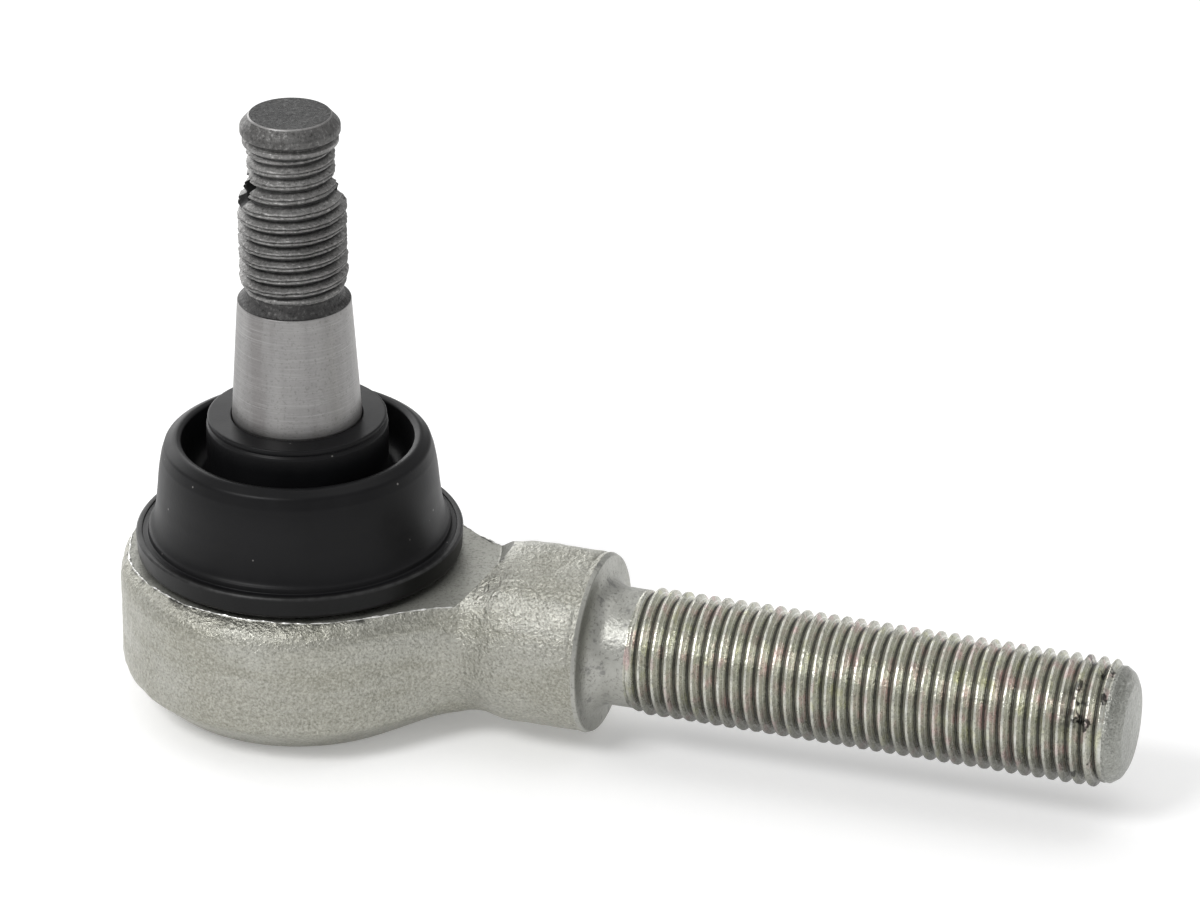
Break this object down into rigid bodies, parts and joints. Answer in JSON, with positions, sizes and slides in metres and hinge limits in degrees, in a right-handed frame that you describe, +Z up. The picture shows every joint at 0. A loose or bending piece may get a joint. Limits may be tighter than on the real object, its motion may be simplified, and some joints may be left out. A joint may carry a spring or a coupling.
{
  "type": "tie rod end",
  "caption": "Outer tie rod end: forged eye with a male threaded shank and a sealed ball joint whose tapered, threaded stud swings and spins.",
  "frame": {"origin": "centre of the ball, where the stud swings and spins", "axes": "+Z up the stud at rest, +X from the eye along the threaded shank"},
  "size_m": [0.1146, 0.0396, 0.0689],
  "materials": {
    "plated_forging": "zinc plated over a shot-blasted forging",
    "stud_steel": "dark phosphated steel with a ground taper",
    "seat_plastic": "moulded acetal",
    "spring_steel": "oil-tempered spring steel",
    "plated_sheet": "zinc plated pressed sheet",
    "boot_rubber": "satin moulded rubber",
    "black_ring": "satin black coated pressed steel"
  },
  "bodies": {
    "housing": {"housing": "plated_forging", "upper_ball_seat": "seat_plastic", "lower_ball_seat": "seat_plastic", "preload_spring": "spring_steel", "end_cover": "plated_sheet", "boot_base_ring": "black_ring"},
    "boot": {"dust_boot": "boot_rubber"},
    "boot_neck": {"boot_neck_ring": "spring_steel"},
    "stud": {"ball_stud": "stud_steel"}
  },
  "joints": [
    {"name": "swing_fore_aft", "type": "hinge", "parent": "housing", "child": "boot", "pos_m": [0, 0, 0], "axis": [0, 1, 0], "range_deg": [-14, 14], "deforming": ["dust_boot"]},
    {"name": "swing_side", "type": "hinge", "parent": "boot", "child": "boot_neck", "pos_m": [0, 0, 0], "axis": [1, 0, 0], "range_deg": [-14, 14], "deforming": ["dust_boot"]},
    {"name": "stud_spin", "type": "hinge", "parent": "boot_neck", "child": "stud", "pos_m": [0, 0, 0], "axis": [0, 0, 1], "continuous": true}
  ]
}
